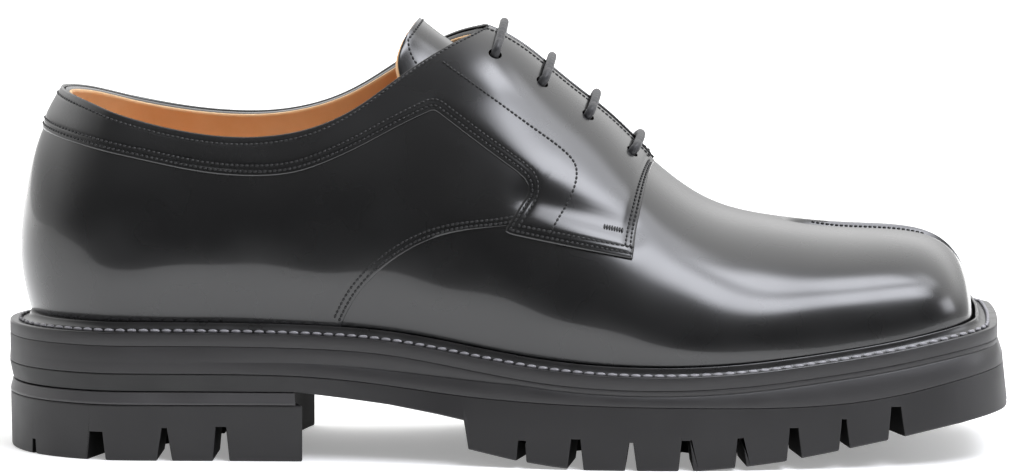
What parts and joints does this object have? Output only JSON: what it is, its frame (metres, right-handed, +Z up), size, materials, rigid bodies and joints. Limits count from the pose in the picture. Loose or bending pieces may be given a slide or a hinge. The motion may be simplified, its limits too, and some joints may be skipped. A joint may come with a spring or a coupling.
{
  "type": "split toe lace-up shoe",
  "caption": "Right-foot split toe lace-up shoe in polished black leather, open at the collar, with a stitched welt and a thick lugged rubber sole.",
  "frame": {"origin": "on the floor, in the middle of the shoe's length and width", "axes": "+X from heel to toe, +Y to the inner (medial) side of this right shoe, +Z up"},
  "size_m": [0.3078, 0.113, 0.1321],
  "materials": {
    "tread_rubber": "satin black moulded rubber",
    "heel_rubber": "satin black moulded rubber",
    "lift_rubber": "satin dark grey rubber",
    "midsole_rubber": "satin black rubber",
    "welt_strip": "waxed black strip with grey stitches",
    "insole_leather": "tan leather lining",
    "polished_leather": "black leather polished to a high gloss",
    "facing_leather": "black leather polished to a high gloss",
    "tongue_leather": "black leather, tan lining",
    "lace_cord": "round waxed cotton cord"
  },
  "bodies": {
    "root": {"outsole": "tread_rubber", "heel_block": "heel_rubber", "heel_lift": "lift_rubber", "midsole": "midsole_rubber", "welt": "welt_strip", "insole": "insole_leather", "upper": "polished_leather", "facing_and_collar": "facing_leather", "tongue": "tongue_leather", "lace_bar_1": "lace_cord", "lace_bar_2": "lace_cord", "lace_bar_3": "lace_cord", "lace_bar_4": "lace_cord"}
  },
  "joints": []
}
